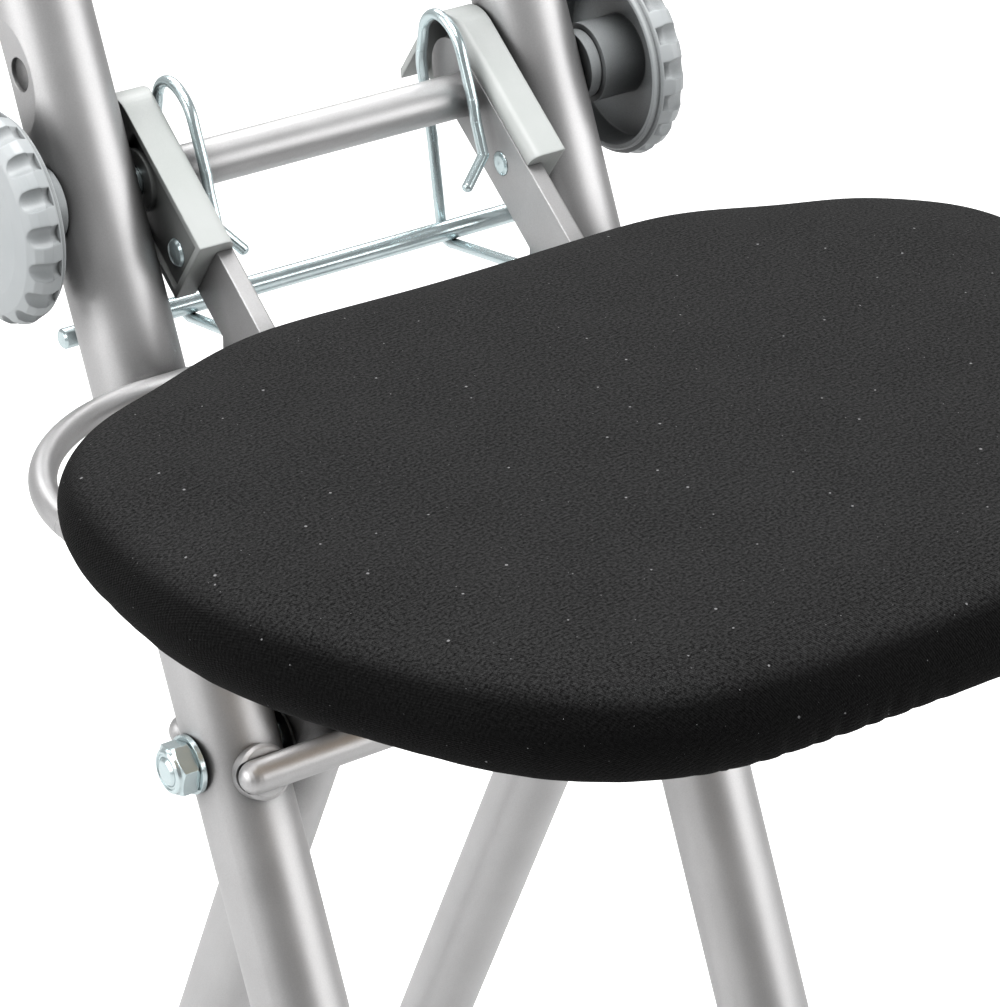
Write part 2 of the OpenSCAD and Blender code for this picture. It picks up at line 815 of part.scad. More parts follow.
post_left();
post_right();
front_foot_bar();
front_foot_caps();
front_stop_rod();
rear_stop_rod();
stop_rod_bosses();
pivot_bolts();
pivot_nuts();
pivot_washers();
pivot_spacers();
post_plugs();
knob_washers();
backrest_board();
backrest_cushion();
backrest_screws();
rear_leg_left();
rear_leg_right();
rear_foot_bar();
rear_foot_caps();
rear_leg_plugs();
pivot_bushes();
crossbar();
arm_left();
arm_right();
catch_left();
catch_right();
catch_rivets();
seat_loop();
seat_tabs();
seat_board();
seat_screws();
seat_cushion();
knob_left();
knob_right();
knob_screw_left();
knob_screw_right();
latch_rod();
latch_hook_left();
latch_hook_right();
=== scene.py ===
"""Looks of the folding sit-stand chair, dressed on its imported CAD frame.

Metres, +Z up, facing -Y.
"""

import json
import math

import bmesh
import bpy
import numpy as np
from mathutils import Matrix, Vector


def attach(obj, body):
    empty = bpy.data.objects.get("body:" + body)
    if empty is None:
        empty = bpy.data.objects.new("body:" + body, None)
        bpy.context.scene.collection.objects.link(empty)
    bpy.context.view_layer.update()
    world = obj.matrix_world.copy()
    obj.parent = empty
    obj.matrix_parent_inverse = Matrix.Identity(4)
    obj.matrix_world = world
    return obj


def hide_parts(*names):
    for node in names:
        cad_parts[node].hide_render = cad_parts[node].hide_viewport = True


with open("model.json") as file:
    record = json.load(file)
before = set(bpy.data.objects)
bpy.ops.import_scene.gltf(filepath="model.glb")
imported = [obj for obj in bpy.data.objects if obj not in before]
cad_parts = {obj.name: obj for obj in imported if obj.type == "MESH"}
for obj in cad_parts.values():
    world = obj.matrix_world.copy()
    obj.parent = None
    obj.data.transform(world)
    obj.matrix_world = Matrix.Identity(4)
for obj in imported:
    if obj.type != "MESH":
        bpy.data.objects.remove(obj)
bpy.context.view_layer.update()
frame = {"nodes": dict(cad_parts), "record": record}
NODES = frame["nodes"]

# Places in the frame, in metres
PIVOT = Vector((0, -0.007653, 0.430))
POST_LEAN = math.radians(25)
TOP_LEAN = math.radians(10)

# Sizes of the finishes: edges rounded in the look, in metres, and grains in noise cycles a metre
EDGE_STEEL = 0.0006
EDGE_ZINC = 0.0003
EDGE_PLASTIC = 0.0009
PAINT_GRAIN = 2600
PLASTIC_GRAIN = 1500
FABRIC_GRAIN = 1250
RIB = 0.00065
STITCH = 0.0011
CREASE_ANGLE = math.radians(32)


# Small helpers for materials
def new_material(name):
    """A material with an empty node tree, its shader and its output."""
    mat = bpy.data.materials.new(name)
    mat.use_nodes = True
    tree = mat.node_tree
    tree.nodes.clear()
    out = tree.nodes.new("ShaderNodeOutputMaterial")
    shader = tree.nodes.new("ShaderNodeBsdfPrincipled")
    tree.links.new(shader.outputs["BSDF"], out.inputs["Surface"])
    return mat, tree, shader


def coords(tree, scale=(1, 1, 1)):
    """Object coordinates, which are the frame's own metres, stretched by scale."""
    place = tree.nodes.new("ShaderNodeTexCoord")
    mapping = tree.nodes.new("ShaderNodeMapping")
    mapping.inputs["Scale"].default_value = scale
    tree.links.new(place.outputs["Object"], mapping.inputs["Vector"])
    return mapping.outputs["Vector"]


def noise(tree, vector, scale, detail=3.0, roughness=0.5):
    """A noise texture's value."""
    node = tree.nodes.new("ShaderNodeTexNoise")
    node.inputs["Scale"].default_value = scale
    node.inputs["Detail"].default_value = detail
    node.inputs["Roughness"].default_value = roughness
    tree.links.new(vector, node.inputs["Vector"])
    return node.outputs["Fac"]


def math_node(tree, operation, a, b=None):
    """A math node on sockets or numbers."""
    node = tree.nodes.new("ShaderNodeMath")
    node.operation = operation
    for i, value in enumerate([a, b]):
        if value is None:
            continue
        if isinstance(value, (int, float)):
            node.inputs[i].default_value = value
        else:
            tree.links.new(value, node.inputs[i])
    return node.outputs[0]


def weighted(tree, a, share_a, b, share_b):
    """A sum of two values, each with its share."""
    first = math_node(tree, "MULTIPLY", a, share_a)
    second = math_node(tree, "MULTIPLY", b, share_b)
    return math_node(tree, "ADD", first, second)


def ramp(tree, value, stops):
    """A colour ramp: stops are (position, colour)."""
    node = tree.nodes.new("ShaderNodeValToRGB")
    elements = node.color_ramp.elements
    while len(elements) < len(stops):
        elements.new(0.5)
    for element, (position, colour) in zip(elements, stops):
        element.position = position
        element.color = (*colour, 1)
    tree.links.new(value, node.inputs["Fac"])
    return node.outputs["Color"]


def value_range(tree, value, low, high):
    """Maps 0..1 to low..high."""
    node = tree.nodes.new("ShaderNodeMapRange")
    node.inputs["To Min"].default_value = low
    node.inputs["To Max"].default_value = high
    tree.links.new(value, node.inputs["Value"])
    return node.outputs["Result"]


def bump(tree, shader, height, strength, distance, edge=0.0):
    """Bump on a shader, from a height socket, over edges rounded by a small radius."""
    node = tree.nodes.new("ShaderNodeBump")
    node.inputs["Strength"].default_value = strength
    node.inputs["Distance"].default_value = distance
    tree.links.new(height, node.inputs["Height"])
    if edge:
        soft = tree.nodes.new("ShaderNodeBevel")
        soft.samples = 4
        soft.inputs["Radius"].default_value = edge
        tree.links.new(soft.outputs["Normal"], node.inputs["Normal"])
    tree.links.new(node.outputs["Normal"], shader.inputs["Normal"])


def multiply(tree, colour, level):
    """A colour times a level."""
    mix = tree.nodes.new("ShaderNodeMix")
    mix.data_type = "RGBA"
    mix.blend_type = "MULTIPLY"
    mix.inputs["Factor"].default_value = 1.0
    tree.links.new(colour, mix.inputs["A"])
    tree.links.new(level, mix.inputs["B"])
    return mix.outputs["Result"]


def painted_shade(tree, colour, reach, power):
    """A colour with painted shade: darkened inside holes and narrow gaps, by how closed in each
    point is.
    """
    occlusion = tree.nodes.new("ShaderNodeAmbientOcclusion")
    occlusion.samples = 6
    occlusion.inputs["Distance"].default_value = reach
    dark = math_node(tree, "POWER", occlusion.outputs["AO"], power)
    return multiply(tree, colour, dark)


def grey(level, tint=(0.0, 0.0, 0.0)):
    """A grey with a slight tint added."""
    return tuple(level + t for t in tint)


# Painted silver tube: fine metallic grain over faint clouds, with painted shade in gaps and holes
def silver_material():
    mat, tree, shader = new_material("silver_paint")
    place = coords(tree)
    grain = noise(tree, place, PAINT_GRAIN, 2.0, 0.6)
    cloud = noise(tree, place, 45, 3.0, 0.5)
    mixed = weighted(tree, grain, 0.5, cloud, 0.5)
    tint = (0.002, -0.002, 0.0)
    colour = ramp(tree, mixed, [(0.3, grey(0.50, tint)), (0.7, grey(0.60, tint))])
    # Painted shade: the colour is darkened in gaps and holes
    tree.links.new(painted_shade(tree, colour, 0.015, 1.1), shader.inputs["Base Color"])
    tree.links.new(value_range(tree, cloud, 0.40, 0.50), shader.inputs["Roughness"])
    shader.inputs["Metallic"].default_value = 0.85
    shader.inputs["Specular IOR Level"].default_value = 0.5
    height = math_node(tree, "ADD", math_node(tree, "MULTIPLY", grain, 0.35), cloud)
    bump(tree, shader, height, 0.10, 0.0004, edge=EDGE_STEEL)
    return mat


# Zinc plate: bright and faintly blue-green in soft clouds, with an uneven gloss and painted shade
# in holes and gaps
def zinc_material():
    mat, tree, shader = new_material("zinc_plate")
    place = coords(tree)
    cloud = noise(tree, place, 150, 2.0, 0.5)
    fine = noise(tree, place, 900, 1.0, 0.5)
    colour = ramp(tree, cloud, [
        (0.25, (0.64, 0.76, 0.78)), (0.5, (0.70, 0.82, 0.84)), (0.75, (0.76, 0.87, 0.89)),
    ])
    # Painted shade: the colour is darkened in holes and narrow gaps
    tree.links.new(painted_shade(tree, colour, 0.004, 0.6), shader.inputs["Base Color"])
    shader.inputs["Metallic"].default_value = 0.8
    tree.links.new(value_range(tree, fine, 0.19, 0.27), shader.inputs["Roughness"])
    bump(tree, shader, cloud, 0.015, 0.0002, edge=EDGE_ZINC)
    return mat


def plastic_material(name, dark, light, roughness, grain=0.15, coat=0.0):
    """Moulded plastic: a fine grain and faint clouds, with an uneven gloss and painted shade in
    holes and gaps.
    """
    mat, tree, shader = new_material(name)
    place = coords(tree)
    grain_value = noise(tree, place, PLASTIC_GRAIN, 3.0, 0.6)
    cloud = noise(tree, place, 60, 3.0, 0.5)
    colour = ramp(tree, cloud, [(0.3, dark), (0.7, light)])
    # Painted shade: the colour is darkened in holes and narrow gaps
    tree.links.new(painted_shade(tree, colour, 0.022, 1.5), shader.inputs["Base Color"])
    rough = value_range(tree, grain_value, roughness - 0.06, roughness + 0.08)
    tree.links.new(rough, shader.inputs["Roughness"])
    shader.inputs["Specular IOR Level"].default_value = 0.4
    if coat:
        shader.inputs["Coat Weight"].default_value = coat
        shader.inputs["Coat Roughness"].default_value = 0.3
    bump(tree, shader, grain_value, grain, 0.0002, edge=EDGE_PLASTIC)
    return mat


# Raw plywood under the cushions
def board_material():
    mat, tree, shader = new_material("plywood")
    stretched = coords(tree, (6, 60, 60))
    rings = noise(tree, stretched, 1.6, 6.0, 0.65)
    fine = noise(tree, coords(tree, (60, 900, 900)), 1.0, 2.0, 0.6)
    mixed = weighted(tree, rings, 0.75, fine, 0.25)
    colour = ramp(tree, mixed, [
        (0.3, (0.36, 0.22, 0.11)), (0.5, (0.55, 0.38, 0.21)), (0.7, (0.66, 0.49, 0.30)),
    ])
    tree.links.new(colour, shader.inputs["Base Color"])
    tree.links.new(value_range(tree, fine, 0.55, 0.75), shader.inputs["Roughness"])
    bump(tree, shader, mixed, 0.25, 0.0004)
    return mat


# Black knit fabric: slanting ribs, tiny stitches, painted light on its face, painted shade on its
# sides, and specks of lint
def fabric_material():
    mat, tree, shader = new_material("black_knit")
    uv = tree.nodes.new("ShaderNodeUVMap")
    uv.uv_map = "cloth"
    split = tree.nodes.new("ShaderNodeSeparateXYZ")
    tree.links.new(uv.outputs["UV"], split.inputs["Vector"])
    u = split.outputs["X"]
    v = split.outputs["Y"]
    rib = 2 * math.pi / RIB
    stitch = 2 * math.pi / STITCH
    along = weighted(tree, u, rib, v, rib * 0.55)
    across = math_node(tree, "SUBTRACT", math_node(tree, "MULTIPLY", v, stitch),
                       math_node(tree, "MULTIPLY", u, stitch * 0.2))
    ribs = math_node(tree, "SINE", along)
    stitches = math_node(tree, "SINE", across)
    weave = weighted(tree, ribs, 0.22, stitches, 0.16)
    cloud = noise(tree, uv.outputs["UV"], 40, 4.0, 0.6)
    fuzz = noise(tree, uv.outputs["UV"], FABRIC_GRAIN, 3.0, 0.7)
    height = math_node(tree, "ADD", weave, math_node(tree, "MULTIPLY", fuzz, 2.6))
    bump(tree, shader, height, 0.7, 0.0004)
    tone = weighted(tree, fuzz, 0.93, cloud, 0.07)
    grain = ramp(tree, tone, [(0.38, grey(0.004)), (0.62, grey(0.034, (0.0, 0.0, 0.0003)))])
    # Painted light and shade: the cushion's face stays lighter and its sides are darkened near to
    # black, fixed to the cushion so that it holds in every pose
    facing = tree.nodes.new("ShaderNodeTexCoord")
    upward = tree.nodes.new("ShaderNodeSeparateXYZ")
    tree.links.new(facing.outputs["Normal"], upward.inputs["Vector"])
    painted_face_light = tree.nodes.new("ShaderNodeMapRange")
    painted_face_light.interpolation_type = "SMOOTHSTEP"
    painted_face_light.inputs["From Min"].default_value = 0.66
    painted_face_light.inputs["From Max"].default_value = 1.0
    painted_face_light.inputs["To Min"].default_value = 0.17
    tree.links.new(upward.outputs["Z"], painted_face_light.inputs["Value"])
    cloth = multiply(tree, grain, painted_face_light.outputs["Result"])
    # Lint: round specks in some of the cells, each with its own size
    lint = None
    for scale, size, bare in [(75, 0.055, 0.5), (170, 0.075, 0.7), (340, 0.11, 0.85)]:
        cells = tree.nodes.new("ShaderNodeTexVoronoi")
        cells.voronoi_dimensions = "2D"
        cells.inputs["Scale"].default_value = scale
        tree.links.new(uv.outputs["UV"], cells.inputs["Vector"])
        tint = tree.nodes.new("ShaderNodeSeparateColor")
        tree.links.new(cells.outputs["Color"], tint.inputs["Color"])
        over = math_node(tree, "SUBTRACT", tint.outputs["Red"], bare)
        limit = math_node(tree, "MULTIPLY", over, size)
        speck = math_node(tree, "LESS_THAN", cells.outputs["Distance"], limit)
        lint = speck if lint is None else math_node(tree, "MAXIMUM", lint, speck)
    mix = tree.nodes.new("ShaderNodeMix")
    mix.data_type = "RGBA"
    mix.inputs["B"].default_value = (0.24, 0.24, 0.245, 1)
    tree.links.new(lint, mix.inputs["Factor"])
    tree.links.new(cloth, mix.inputs["A"])
    tree.links.new(mix.outputs["Result"], shader.inputs["Base Color"])
    shader.inputs["Roughness"].default_value = 0.88
    shader.inputs["Specular IOR Level"].default_value = 0.08
    shader.inputs["Sheen Weight"].default_value = 0.03
    shader.inputs["Sheen Roughness"].default_value = 0.4
    shader.inputs["Sheen Tint"].default_value = (0.8, 0.8, 0.8, 1)
    return mat


MATERIALS = {
    "silver_paint": silver_material(),
    "zinc": zinc_material(),
    "black_plastic": plastic_material("black_plastic", grey(0.012), grey(0.022), 0.48, grain=0.2),
    "grey_plastic": plastic_material(
        "grey_plastic", (0.455, 0.485, 0.495), (0.505, 0.53, 0.54), 0.42, coat=0.12),
    "pale_plastic": plastic_material(
        "pale_plastic", (0.49, 0.515, 0.50), (0.54, 0.56, 0.55), 0.40, coat=0.10),
    "board": board_material(),
    "black_fabric": fabric_material(),
}

# CAD nodes keep their shapes and get their slot's material
for part in frame["record"]["subparts"]:
    node = NODES[part["node"]]
    node.data.materials.clear()
    node.data.materials.append(MATERIALS[part["material_slot"]])
    node.data.shade_smooth()
    node.data.set_sharp_from_angle(angle=CREASE_ANGLE)


# Outlines wrapped round circles, as the CAD boards have them: x, y and radius, mirrored in x
SEAT_CIRCLES = [(0.0534, -0.1402, 0.0696), (0.085, -0.067, 0.0584), (0.050, -0.092, 0.0948)]
BACK_CIRCLES = [(0.092, 0.0, 0.050), (0.035, 0.002, 0.060)]
DIP_WIDTH = 0.030

# Cushions as rings: points in a ring and in the outline it comes from, passes of smoothing, rings
# over the crown, the hem's inset, and the heights below which the cloth is held and eased
STEPS = 200
OUTLINE_FINE = 2880
GATHER_FINE = 1440
RING_SMOOTHING = 6
CROWN_RINGS = 12
HEM_INSET = 0.0105
HEM_HEIGHT = 0.012
HELD_BELOW = 0.0012
EASED_OVER = 0.005

# Profile: the height it is drawn for, steps of its arcs and of its top, how far the top reaches
# in, and how the top falls to its edge: a drop with its reach, near the edge and farther in
PROFILE_HEIGHT = 0.027
ARC_STEPS = 8
TOP_STEPS = 12
TOP_REACH = 0.038
NEAR_DROP, NEAR_REACH = 0.0026, 0.009
FAR_DROP, FAR_REACH = 0.00225, 0.038

# The cloth: its room at the start, the most it may move, its frames, passes of evening out, and
# the share of each ring's mean movement that is taken back
SWELL_ROOM = 0.0014
SWELL_MOST = 0.0022
SWELL_FRAMES = 20
SETTLING = 20
SIZE_KEPT = 0.8


def outline_at(circles, angle, inset, middle, dip):
    """A point of the outline, drawn in by inset, for a direction in radians."""
    ux, uy = abs(math.cos(angle)), math.sin(angle)
    side = -1 if math.cos(angle) < 0 else 1
    c = max(circles, key=lambda k: k[0] * ux + k[1] * uy + k[2])
    x = side * (c[0] + (c[2] - inset) * ux)
    y = c[1] + (c[2] - inset) * uy
    if y > middle:
        y -= dip * math.exp(-((x / DIP_WIDTH) ** 2))
    return x, y


def outline_ring(circles, inset, middle, dip, steps=STEPS):
    """The whole outline as an array of points, evenly spread along its length."""
    turns = (np.arange(OUTLINE_FINE) + 0.5) * 2 * math.pi / OUTLINE_FINE
    fine = np.array([outline_at(circles, turn, inset, middle, dip) for turn in turns])
    closed = np.vstack([fine, fine[:1]])
    run = np.concatenate([[0], np.cumsum(np.linalg.norm(np.diff(closed, axis=0), axis=1))])
    want = np.linspace(0, run[-1], steps, endpoint=False)
    return np.stack([np.interp(want, run, closed[:, k]) for k in range(2)], axis=1)


def smooth_rings(rings, passes):
    """Evens out the turning of each ring, so that joined arcs meet softly."""
    for _ in range(passes):
        rings = rings * 0.5 + (np.roll(rings, 1, axis=1) + np.roll(rings, -1, axis=1)) * 0.25
    return rings


def cushion_mesh(name, circles, middle, dip, profile, crown, flat_inset):
    """A stuffed cushion as rings from its turned-under edge to its crown.

    profile is a list of (inset, height) up to the last inset before the crown's flat middle,
    crown is the height over the middle and flat_inset where the underside's hem ends.
    """
    hem = [(flat_inset, 0.0006), (flat_inset - 0.004, 0.0001)]
    rows = hem + profile
    rings = np.array([outline_ring(circles, inset, middle, dip) for inset, _ in rows])
    rings = smooth_rings(rings, RING_SMOOTHING)
    heights = [h for _, h in rows]
    last = rings[-1]
    centre = np.array([0.0, middle])
    top = heights[-1]
    extra_rings = []
    extra_heights = []
    for k in range(1, CROWN_RINGS):
        t = k / CROWN_RINGS
        extra_rings.append(last * (1 - t) + centre * t)
        extra_heights.append(top + (crown - top) * (1 - (1 - t) ** 2))
    count = len(rows) + len(extra_rings)
    flat = np.concatenate([rings, np.array(extra_rings)])
    points = np.zeros((count, STEPS, 3))
    points[:, :, :2] = flat
    points[:, :, 2] = np.array(heights + extra_heights)[:, None]
    # Cloth coordinates: the top lies flat and the sides are unrolled outwards from it
    cloth = flat.copy()
    edge = len(rows) - 1
    for k in range(edge - 1, -1, -1):
        step = np.linalg.norm(points[k] - points[k + 1], axis=1, keepdims=True)
        direction = flat[0] - flat[edge]
        direction = direction / np.maximum(np.linalg.norm(direction, axis=1, keepdims=True), 1e-9)
        cloth[k] = cloth[k + 1] + direction * step
    mesh = bpy.data.meshes.new(name)
    build = bmesh.new()
    layer = build.loops.layers.uv.new("cloth")
    verts = [[build.verts.new(p) for p in row] for row in points]
    tip = build.verts.new((centre[0], centre[1], crown))

    def paint(face, places):
        for loop, place in zip(face.loops, places):
            loop[layer].uv = place

    for k in range(count - 1):
        for i in range(STEPS):
            j = (i + 1) % STEPS
            face = build.faces.new([verts[k][i], verts[k][j], verts[k + 1][j], verts[k + 1][i]])
            paint(face, [cloth[k][i], cloth[k][j], cloth[k + 1][j], cloth[k + 1][i]])
    for i in range(STEPS):
        j = (i + 1) % STEPS
        face = build.faces.new([verts[-1][i], verts[-1][j], tip])
        paint(face, [cloth[-1][i], cloth[-1][j], centre])
    bmesh.ops.recalc_face_normals(build, faces=build.faces)
    build.to_mesh(mesh)
    build.free()
    mesh.shade_smooth()
    obj = bpy.data.objects.new(name, mesh)
    bpy.context.scene.collection.objects.link(obj)
    return obj


def cushion_profile(h):
    """Insets and heights of a cushion's side and top, from its lower edge up, in metres."""
    size = h / PROFILE_HEIGHT
    under = 0.008
    widest = 0.0118 * size
    shoulder = 0.0128
    rise = 0.0112 * size
    rows = []
    for k in range(ARC_STEPS + 1):
        turn = math.radians(90) * k / ARC_STEPS
        rows.append((under * (1 - math.sin(turn)), widest * (1 - math.cos(turn))))
    last_turn = math.radians(67.5)
    for k in range(1, ARC_STEPS + 1):
        turn = last_turn * k / ARC_STEPS
        rows.append((shoulder * (1 - math.cos(turn)), widest + rise * math.sin(turn)))
    crown_start = rows[-1][0]
    for k in range(1, TOP_STEPS + 1):
        along = TOP_REACH * (k / TOP_STEPS) ** 1.3
        near = NEAR_DROP * math.exp(-along / NEAR_REACH)
        far = FAR_DROP * math.exp(-along / FAR_REACH)
        rows.append((crown_start + along, h - size * (near + far)))
    return rows


def vertex_places(mesh):
    """The places of a mesh's corners as an array."""
    places = np.empty(len(mesh.vertices) * 3)
    mesh.vertices.foreach_get("co", places)
    return places.reshape(-1, 3)


def vertex_normals(mesh):
    """The normals at a mesh's corners as an array."""
    normals = np.empty(len(mesh.vertices) * 3)
    mesh.vertex_normals.foreach_get("vector", normals)
    return normals.reshape(-1, 3)


def move_to(mesh, places):
    """Puts a mesh's corners at these places."""
    mesh.vertices.foreach_set("co", places.ravel())
    mesh.update()


def settle(move):
    """Evens out the movement between neighbours, as the foam under the cloth does."""
    rings = move[:-1].reshape(-1, STEPS, 3).copy()
    for _ in range(SETTLING):
        beside = (np.roll(rings, 1, axis=1) + np.roll(rings, -1, axis=1))[1:-1]
        rings[1:-1] = rings[1:-1] * 0.5 + (beside + rings[:-2] + rings[2:]) * 0.125
    return np.vstack([rings.reshape(-1, 3), move[-1:]])


def keep_size(full, swelled, normals):
    """Takes back SIZE_KEPT of each ring's mean movement, so that mostly the unevenness stays."""
    proud = ((swelled - full) * normals).sum(axis=1)
    mean = proud[:-1].reshape(-1, STEPS).mean(axis=1)
    trend = np.append(np.repeat(mean, STEPS), mean[-1])
    return swelled - normals * (trend * SIZE_KEPT)[:, None]


def swell(pad):
    """Swells the pad as cloth over its stuffing, its hem held, and keeps the result."""
    mesh = pad.data
    full = vertex_places(mesh)
    free = np.clip((full[:, 2] - HELD_BELOW) / EASED_OVER, 0, 1)
    normals = vertex_normals(mesh)
    slack = full - normals * (SWELL_ROOM * free)[:, None]
    move_to(mesh, slack)
    held = pad.vertex_groups.new(name="hem")
    held.add([int(i) for i in np.nonzero(free <= 0)[0]], 1.0, "REPLACE")
    cloth = pad.modifiers.new("swell", "CLOTH")
    cloth.settings.quality = 5
    cloth.settings.vertex_group_mass = "hem"
    cloth.settings.use_pressure = True
    cloth.settings.uniform_pressure_force = 4
    cloth.settings.effector_weights.gravity = 0
    cloth.collision_settings.use_collision = False
    cloth.point_cache.frame_start = 1
    cloth.point_cache.frame_end = SWELL_FRAMES
    for frame_number in range(1, SWELL_FRAMES + 1):
        bpy.context.scene.frame_set(frame_number)
    swelled = pad.evaluated_get(bpy.context.evaluated_depsgraph_get())
    move = vertex_places(swelled.data) - slack
    pad.modifiers.remove(cloth)
    bpy.context.scene.frame_set(1)
    length = np.maximum(np.linalg.norm(move, axis=1), 1e-9)
    print(pad.name, "swelled by", round(float(length.mean()) * 1000, 2), "mm before the cap")
    move = settle(move * (np.minimum(length, SWELL_MOST) / length)[:, None])
    move_to(mesh, keep_size(full, slack + move, normals))


def subdivide(pad, levels):
    """Subdivision, kept on the mesh."""
    smooth = pad.modifiers.new("fine", "SUBSURF")
    smooth.levels = levels
    smooth.render_levels = levels
    evaluated = pad.evaluated_get(bpy.context.evaluated_depsgraph_get())
    finer = bpy.data.meshes.new_from_object(evaluated)
    pad.modifiers.remove(smooth)
    pad.data = finer
    finer.shade_smooth()


def gather(pad, circles, middle, waves):
    """Small gathers where the fabric is pulled under: waves gives their push round the hem."""
    ring = outline_ring(circles, 0.0, middle, 0.0, GATHER_FINE)
    turn = np.unwrap(np.arctan2(ring[:, 1] - middle, ring[:, 0]))
    run = np.concatenate([[0], np.cumsum(np.linalg.norm(np.diff(ring, axis=0), axis=1))])
    mesh = pad.data
    places = vertex_places(mesh)
    angle = np.arctan2(places[:, 1] - middle, places[:, 0])
    angle = np.where(angle < turn[0], angle + 2 * math.pi, angle)
    along = np.interp(angle, turn, run)
    low = np.clip(1 - places[:, 2] / HEM_HEIGHT, 0, 1) ** 1.3
    push = waves(along, places) * low
    out = vertex_normals(mesh) * (1, 1, 0)
    move_to(mesh, places + out * push[:, None])


# Pleats of the seat's front hem, each side of its middle: run, width and depth of each
SEAT_PLEATS = [
    (-0.0290, 0.0016, 0.0007), (-0.0215, 0.0013, 0.0009), (-0.0140, 0.0015, 0.0011),
    (-0.0085, 0.0011, 0.0008), (0.0, 0.0016, 0.0012), (0.0065, 0.0012, 0.0008),
    (0.0145, 0.0015, 0.0010), (0.0215, 0.0012, 0.0007), (0.0300, 0.0015, 0.0008),
    (0.0370, 0.0012, 0.0005),
]
SEAT_PLEATS_AT = (0.040, -0.210)


def ripple(along, depth, long_wave, short_wave, share, phase=0.0):
    """Unevenness from a long wave and a share of a shorter one."""
    shorter = np.sin(along * 2 * math.pi / short_wave + phase)
    return depth * (np.sin(along * 2 * math.pi / long_wave) + share * shorter)


def seat_waves(along, places):
    """Pleats in the front hem and a hint of unevenness elsewhere."""
    push = ripple(along, depth=0.00012, long_wave=0.017, short_wave=0.0093, share=0.6, phase=1.3)
    for side in (1, -1):
        sideways = np.abs(places[:, 0] - side * SEAT_PLEATS_AT[0])
        forwards = np.abs(places[:, 1] - SEAT_PLEATS_AT[1])
        near = along[np.argmin(sideways + forwards)]
        for place, width, depth in SEAT_PLEATS:
            push = push - depth * np.exp(-(((along - near - side * place) / width) ** 2))
    return push


def back_waves(along, places):
    """Faint gathers all round the hem."""
    return ripple(along, depth=0.0003, long_wave=0.014, short_wave=0.0091, share=0.5)


def make_pad(name, circles, middle, dip, height, waves, levels):
    """A finished cushion in its own place: stuffed, swelled, gathered and covered."""
    profile = cushion_profile(height)
    pad = cushion_mesh(name, circles, middle, dip, profile, crown=height, flat_inset=HEM_INSET)
    pad.data.materials.append(MATERIALS["black_fabric"])
    swell(pad)
    subdivide(pad, levels)
    gather(pad, circles, middle, waves)
    return pad


LOOP_UP = 0.0942
LOOP_RADIUS = 0.0035
BOARD_BOTTOM = PIVOT.z + LOOP_UP + LOOP_RADIUS + 0.0001
seat = make_pad("seat_pad", SEAT_CIRCLES, middle=-0.098, dip=0.0018, height=0.027,
                waves=seat_waves, levels=2)
seat.location = (0, PIVOT.y, BOARD_BOTTOM)
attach(seat, "seat")
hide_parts("seat_cushion")

back = make_pad("back_pad", BACK_CIRCLES, middle=0.0, dip=0.0, height=0.024,
                waves=back_waves, levels=1)
BEND_UP = 0.452
BACK_CENTRE_UP = 0.068
BACK_CUSHION_OUT = 0.0126
bend = PIVOT + Vector((0, BEND_UP * math.sin(POST_LEAN), BEND_UP * math.cos(POST_LEAN)))
up = Vector((0, math.sin(TOP_LEAN), math.cos(TOP_LEAN)))
out = Vector((0, -math.cos(TOP_LEAN), math.sin(TOP_LEAN)))
back.location = bend + up * BACK_CENTRE_UP + out * BACK_CUSHION_OUT
back.rotation_euler = (math.radians(90) - TOP_LEAN, 0, 0)
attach(back, "post_frame")
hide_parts("backrest_cushion")


# Floor and backdrop: one pale sheet that curves up behind the chair, in metres
SHEET_FRONT = -9.0
SHEET_FLAT_TO = 3.0
SHEET_CURVE = 2.5
SHEET_TOP = 8.0
SHEET_SIDE = 12.0
SHEET_STEPS = 12

# Light that the sheet adds in mirrored rays, and that the world gives to all but the camera
MIRRORED = 0.2
SKY_LEVEL = 0.16
LAMPS_FACE = Vector((0, 0, 0.5))


def stage_sheet():
    mesh = bpy.data.meshes.new("floor")
    build = bmesh.new()
    profile = [(SHEET_FRONT, 0.0), (SHEET_FLAT_TO, 0.0)]
    for k in range(1, SHEET_STEPS + 1):
        angle = k / SHEET_STEPS * math.pi / 2
        back_to = SHEET_FLAT_TO + SHEET_CURVE * math.sin(angle)
        profile.append((back_to, SHEET_CURVE - SHEET_CURVE * math.cos(angle)))
    profile.append((SHEET_FLAT_TO + SHEET_CURVE, SHEET_TOP))
    sides = (-SHEET_SIDE, SHEET_SIDE)
    rows = [[build.verts.new((x, y, z)) for x in sides] for y, z in profile]
    for k in range(len(rows) - 1):
        build.faces.new([rows[k][0], rows[k][1], rows[k + 1][1], rows[k + 1][0]])
    build.to_mesh(mesh)
    build.free()
    mesh.shade_smooth()
    obj = bpy.data.objects.new("floor", mesh)
    bpy.context.scene.collection.objects.link(obj)
    return obj


def stage_material():
    """Pale paper: it keeps the shadow, and adds white for the camera and MIRRORED for metal."""
    mat, tree, shader = new_material("paper")
    out_node = [n for n in tree.nodes if n.type == "OUTPUT_MATERIAL"][0]
    shader.inputs["Base Color"].default_value = (0.5, 0.5, 0.5, 1)
    shader.inputs["Roughness"].default_value = 0.9
    glow = tree.nodes.new("ShaderNodeEmission")
    glow.inputs["Color"].default_value = (1, 1, 1, 1)
    rays = tree.nodes.new("ShaderNodeLightPath")
    mirrored = math_node(tree, "MULTIPLY", rays.outputs["Is Glossy Ray"], MIRRORED)
    level = math_node(tree, "MAXIMUM", rays.outputs["Is Camera Ray"], mirrored)
    tree.links.new(level, glow.inputs["Strength"])
    both = tree.nodes.new("ShaderNodeAddShader")
    tree.links.new(shader.outputs["BSDF"], both.inputs[0])
    tree.links.new(glow.outputs["Emission"], both.inputs[1])
    tree.links.new(both.outputs["Shader"], out_node.inputs["Surface"])
    return mat


floor = stage_sheet()
floor.data.materials.append(stage_material())

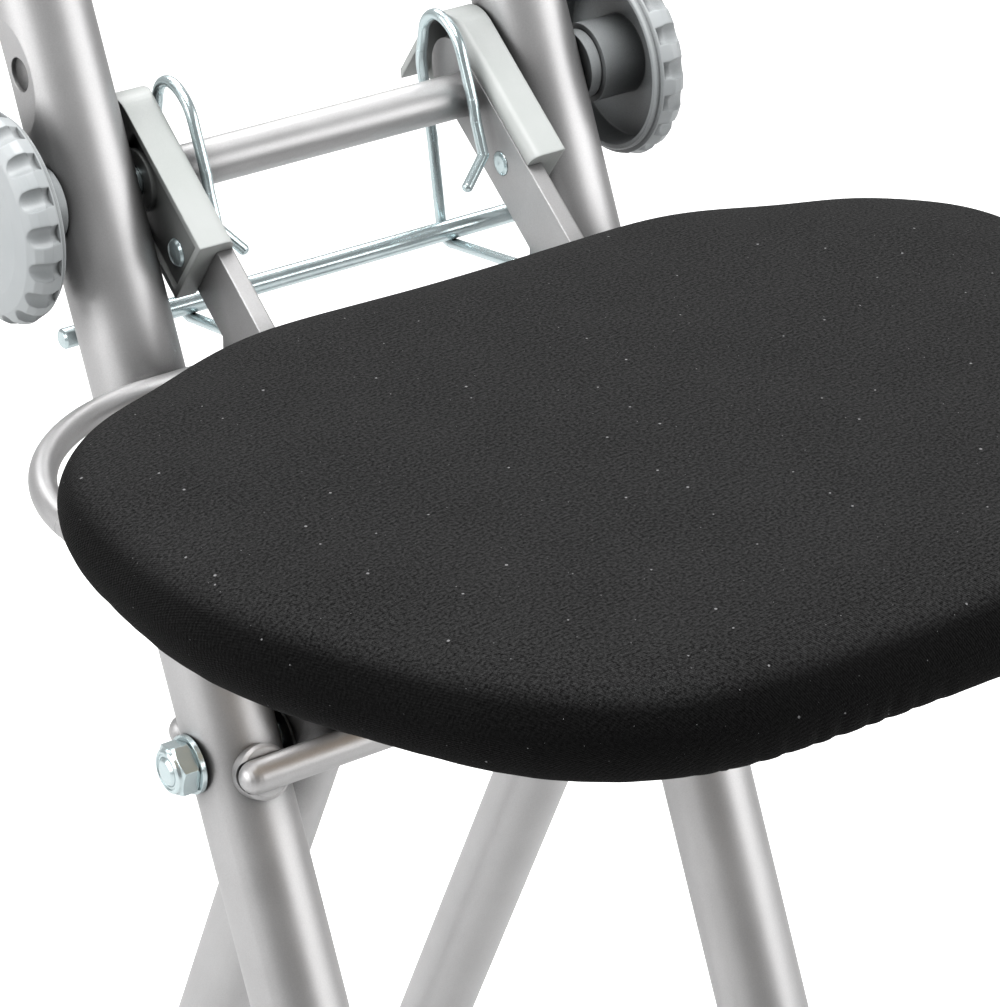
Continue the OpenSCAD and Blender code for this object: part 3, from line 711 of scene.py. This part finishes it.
# World: white to the camera, a dim even sky to everything else
scene = bpy.context.scene
world = bpy.data.worlds.new("studio")
scene.world = world
world.use_nodes = True
sky = world.node_tree.nodes["Background"]
sky.inputs["Color"].default_value = (1, 1, 1, 1)
seen = world.node_tree.nodes.new("ShaderNodeLightPath")
sky_level = math_node(world.node_tree, "MAXIMUM", seen.outputs["Is Camera Ray"], SKY_LEVEL)
world.node_tree.links.new(sky_level, sky.inputs["Strength"])


def lamp(name, place, size, power):
    """A soft white lamp that faces the middle of the chair."""
    data = bpy.data.lights.new(name, "AREA")
    data.shape = "RECTANGLE"
    data.size = size[0]
    data.size_y = size[1]
    data.energy = power
    obj = bpy.data.objects.new(name, data)
    obj.location = place
    obj.rotation_euler = (LAMPS_FACE - Vector(place)).to_track_quat("-Z", "Y").to_euler()
    scene.collection.objects.link(obj)


lamp("top", (-0.2, -0.1, 2.5), (1.2, 1.2), 46)
lamp("back", (0.5, 1.3, 2.0), (1.6, 1.0), 30)
lamp("right", (1.62, -1.6, 1.1), (2.2, 1.3), 28)
lamp("left", (-2.05, 0.4, 1.3), (2.3, 1.6), 40)

# Camera: the photograph's angle, with the picture's long side as the sensor width
CAMERA_AT = PIVOT + Vector((-0.5081, -0.7670, 0.5527))
CAMERA_YAW = math.radians(-34.26)
CAMERA_PITCH = math.radians(28.60)
CAMERA_LENS_PX = 4012.5
PICTURE_LONG_PX = 1007
SENSOR_WIDTH = 36
camera_data = bpy.data.cameras.new("camera")
camera_data.sensor_width = SENSOR_WIDTH
camera_data.lens = CAMERA_LENS_PX * SENSOR_WIDTH / PICTURE_LONG_PX
camera_data.clip_start = 0.05
camera_data.clip_end = 60
camera = bpy.data.objects.new("camera", camera_data)
camera.location = CAMERA_AT
back_vector = Vector((
    math.sin(CAMERA_YAW) * math.cos(CAMERA_PITCH),
    -math.cos(CAMERA_YAW) * math.cos(CAMERA_PITCH),
    math.sin(CAMERA_PITCH),
))
camera.rotation_euler = (-back_vector).to_track_quat("-Z", "Y").to_euler()
scene.collection.objects.link(camera)
scene.camera = camera

scene.view_settings.view_transform = "Standard"
